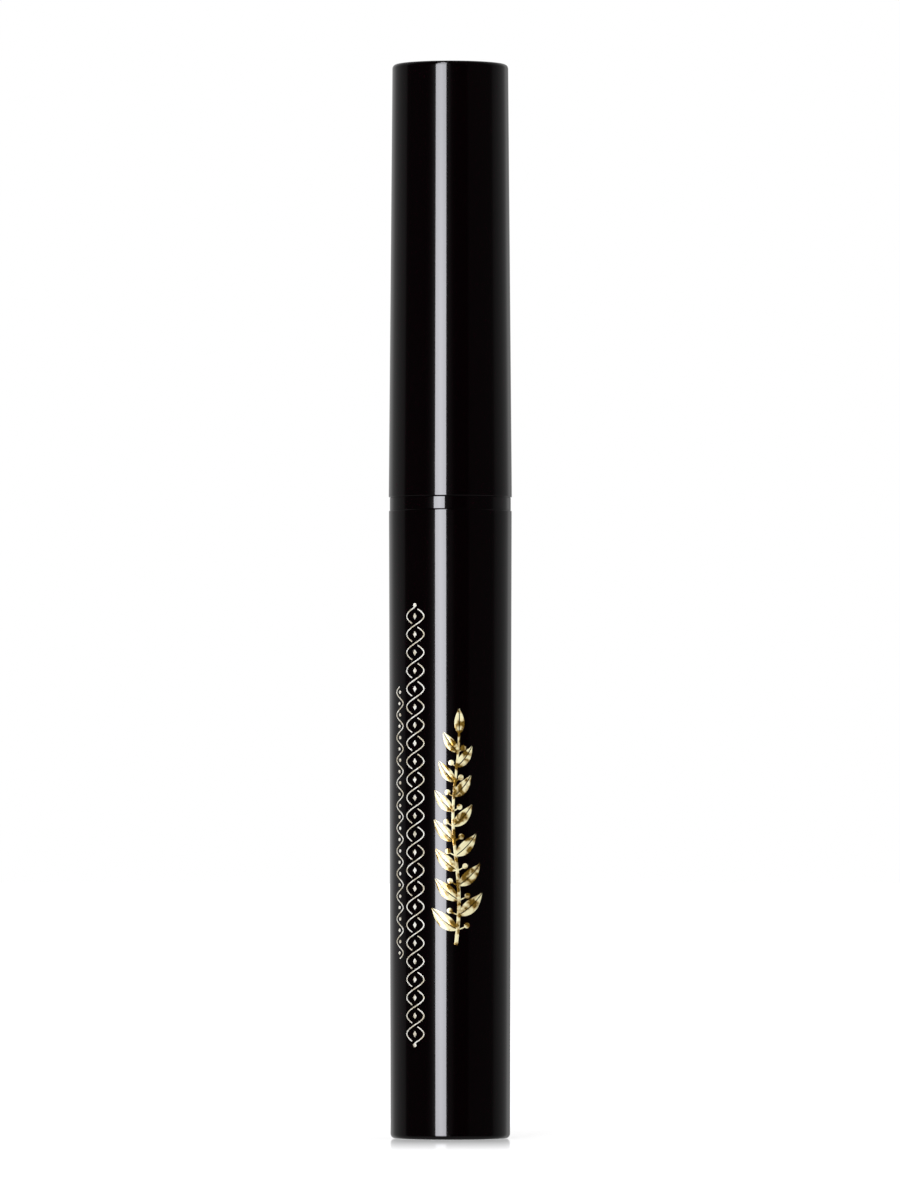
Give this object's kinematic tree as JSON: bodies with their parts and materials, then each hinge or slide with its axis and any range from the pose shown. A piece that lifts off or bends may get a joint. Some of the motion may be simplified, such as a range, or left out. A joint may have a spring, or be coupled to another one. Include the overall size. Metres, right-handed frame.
{
  "type": "liquid eyeliner pen",
  "caption": "Slim felt-tip liquid eyeliner pen with a push-on cap, a sprung inner cap over the nib, a finned collector and an ink tank.",
  "frame": {"origin": "centre of the tail's standing rim, on the surface that the pen stands on", "axes": "+Z along the pen's axis from the tail to the cap; the pen is the same all round, apart from the ribs and slots inside it"},
  "size_m": [0.0131, 0.013, 0.1142],
  "materials": {
    "black_gloss": "moulded, polished",
    "black_satin": "moulded, satin",
    "natural_plastic": "moulded, unpigmented",
    "collector_plastic": "moulded, wetting grade",
    "seal_rubber": "moulded",
    "fibre": "bonded fibre, soaked black",
    "steel": "bright drawn",
    "gold_foil": "hot-stamped foil"
  },
  "bodies": {
    "pen": {"barrel": "black_gloss", "tail_plug": "black_satin", "ink_tank": "natural_plastic", "tank_plug": "natural_plastic", "seal_ring": "seal_rubber", "collector": "collector_plastic", "relay_wick": "fibre", "front_section": "black_gloss", "nose_cone": "black_satin", "nib_sleeve": "black_satin", "felt_nib": "fibre"},
    "ball": {"mixing_ball": "steel"},
    "spring": {"cap_spring": "steel"},
    "cap": {"cap_shell": "black_gloss", "cap_insert": "natural_plastic"},
    "inner_cap": {"inner_cap": "natural_plastic"}
  },
  "joints": [
    {"name": "cap_pull", "type": "slide", "parent": "pen", "child": "spring", "axis": [0, 0, 1], "range_m": [0, 0.045]},
    {"name": "cap_turn", "type": "hinge", "parent": "spring", "child": "cap", "pos_m": [0, 0, 0.0908], "axis": [0, 0, 1], "continuous": true},
    {"name": "inner_cap_give", "type": "slide", "parent": "spring", "child": "inner_cap", "axis": [0, 0, 1], "range_m": [0, 0.0012], "stiffness_N_per_m": 500, "springref_m": -0.0002, "deforming": ["cap_spring"]},
    {"name": "ball_travel", "type": "slide", "parent": "pen", "child": "ball", "axis": [0, 0, 1], "range_m": [0, 0.0358]}
  ]
}
